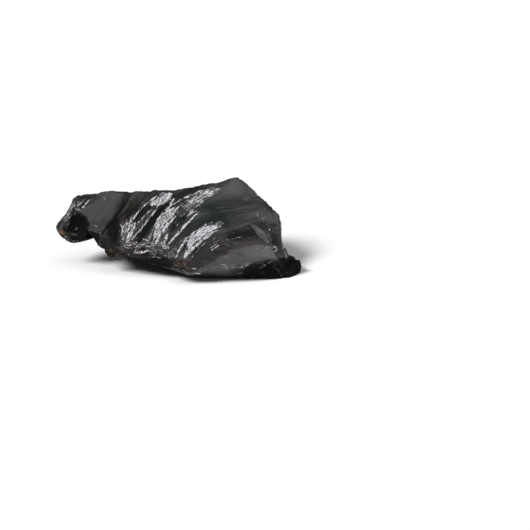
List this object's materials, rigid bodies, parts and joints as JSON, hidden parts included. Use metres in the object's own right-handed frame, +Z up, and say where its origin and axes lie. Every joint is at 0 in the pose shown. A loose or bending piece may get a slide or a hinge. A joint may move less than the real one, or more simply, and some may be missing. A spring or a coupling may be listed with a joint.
{
  "type": "obsidian chunk",
  "caption": "Natural chunk of black obsidian with glossy curved fracture faces, curved ribs, sharp edges and a knob at one end.",
  "frame": {"origin": "centre of the bounding box, at the bottom, on the surface that the stone rests on", "axes": "+X along the stone from its knob to its nose, +Y from its ribbed front to its back, +Z up"},
  "size_m": [0.09, 0.0496, 0.0285],
  "materials": {
    "obsidian": "black volcanic glass, glossy on its smooth fracture faces, with whitish crushed bands on its ribs"
  },
  "bodies": {
    "root": {"obsidian_chunk": "obsidian"}
  },
  "joints": []
}
